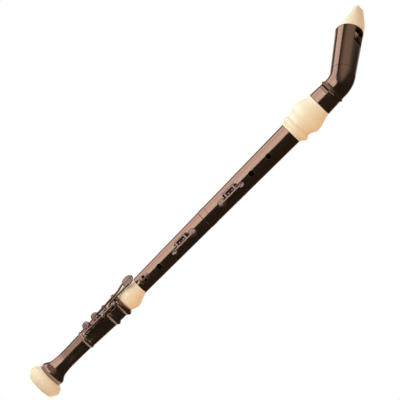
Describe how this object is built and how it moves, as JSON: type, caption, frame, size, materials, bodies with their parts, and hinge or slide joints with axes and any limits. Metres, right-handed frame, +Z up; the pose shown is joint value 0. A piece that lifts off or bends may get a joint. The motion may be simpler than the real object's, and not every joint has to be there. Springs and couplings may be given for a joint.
{
  "type": "bass recorder",
  "caption": "Bass recorder with a bent neck and beaked head, turned ivory-coloured rings, a flared bell, finger holes and sprung padded keys.",
  "frame": {"origin": "on the body's axis at the end face of the bell, where a stand's peg holds the instrument", "axes": "+Z up the body to the head, the finger holes face -Y, the head leans back and to the -X side"},
  "size_m": [0.1159, 0.1448, 0.9062],
  "materials": {
    "ivory_resin": "warm ivory-coloured moulded plastic, satin polished",
    "dark_resin": "very dark brown moulded plastic, satin polished",
    "key_resin": "dark red-brown moulded plastic",
    "cork": "greased cork",
    "pad_skin": "thin pad skin",
    "key_steel": "polished steel"
  },
  "bodies": {
    "foot": {"foot_body": "dark_resin", "foot_ball": "ivory_resin", "bell_ring": "ivory_resin", "foot_post_top": "key_steel", "foot_post_middle": "key_steel", "foot_post_bottom": "key_steel", "low_key_spring": "key_steel", "sharp_key_spring": "key_steel"},
    "lower_joint": {"lower_tube": "dark_resin", "middle_tenon_cork": "cork", "foot_tenon_cork": "cork", "thumb_rest": "dark_resin", "thumb_rest_screw": "key_steel", "lower_key_saddle": "key_resin", "lower_key_rod": "key_steel", "lower_key_spring": "key_steel", "lower_key_screw_1": "key_steel", "lower_key_screw_2": "key_steel"},
    "upper_joint": {"upper_tube": "dark_resin", "top_tenon_cork": "cork", "strap_eye": "key_steel", "strap_screw": "key_steel", "upper_key_saddle": "key_resin", "upper_key_rod": "key_steel", "upper_key_spring": "key_steel", "upper_key_screw_1": "key_steel", "upper_key_screw_2": "key_steel"},
    "neck": {"elbow": "dark_resin", "neck_ferrule": "ivory_resin", "head_tenon_cork": "cork"},
    "head": {"head_tube": "dark_resin", "windway_block": "ivory_resin", "beak": "ivory_resin"},
    "upper_key": {"upper_key_lever": "key_resin", "upper_key_pad": "pad_skin"},
    "lower_key": {"lower_key_lever": "key_resin", "lower_key_pad": "pad_skin"},
    "low_key": {"low_key_lever": "key_resin", "low_key_cup": "key_resin", "low_key_pad": "pad_skin", "foot_key_rod": "key_steel"},
    "sharp_key": {"sharp_key_lever": "key_resin", "sharp_key_pad": "pad_skin"},
    "strap_ring": {"strap_ring": "key_steel"}
  },
  "joints": [
    {"name": "foot_turn", "type": "hinge", "parent": "foot", "child": "lower_joint", "pos_m": [0, 0, 0.261], "axis": [0, 0, 1], "continuous": true},
    {"name": "middle_turn", "type": "hinge", "parent": "lower_joint", "child": "upper_joint", "pos_m": [0, 0, 0.431], "axis": [0, 0, 1], "continuous": true},
    {"name": "neck_turn", "type": "hinge", "parent": "upper_joint", "child": "neck", "pos_m": [0, 0, 0.653], "axis": [0, 0, 1], "continuous": true},
    {"name": "tuning_slide", "type": "slide", "parent": "neck", "child": "head", "axis": [-0.4458, 0.6366, 0.6293], "range_m": [0, 0.01]},
    {"name": "upper_key_press", "type": "hinge", "parent": "upper_joint", "child": "upper_key", "pos_m": [-0.0084, -0.02319, 0.501], "axis": [0, 0, 1], "range_deg": [0, 16.6], "stiffness_Nm_per_rad": 0.02, "springref_deg": -28.65},
    {"name": "lower_key_press", "type": "hinge", "parent": "lower_joint", "child": "lower_key", "pos_m": [-0.0084, -0.02147, 0.375], "axis": [0, 0, 1], "range_deg": [0, 16.6], "stiffness_Nm_per_rad": 0.02, "springref_deg": -28.65},
    {"name": "low_key_press", "type": "hinge", "parent": "foot", "child": "low_key", "pos_m": [-0.01004, -0.02549, 0.169], "axis": [0, 0, -1], "range_deg": [0, 10.23], "stiffness_Nm_per_rad": 0.02, "springref_deg": -28.65},
    {"name": "sharp_key_press", "type": "hinge", "parent": "foot", "child": "sharp_key", "pos_m": [-0.01004, -0.02549, 0.162], "axis": [0, 0, -1], "range_deg": [0, 10.23], "stiffness_Nm_per_rad": 0.02, "springref_deg": -28.65},
    {"name": "strap_ring_swing", "type": "hinge", "parent": "upper_joint", "child": "strap_ring", "pos_m": [0, 0.02802, 0.631], "axis": [1, 0, 0], "range_deg": [-10, 165]}
  ]
}
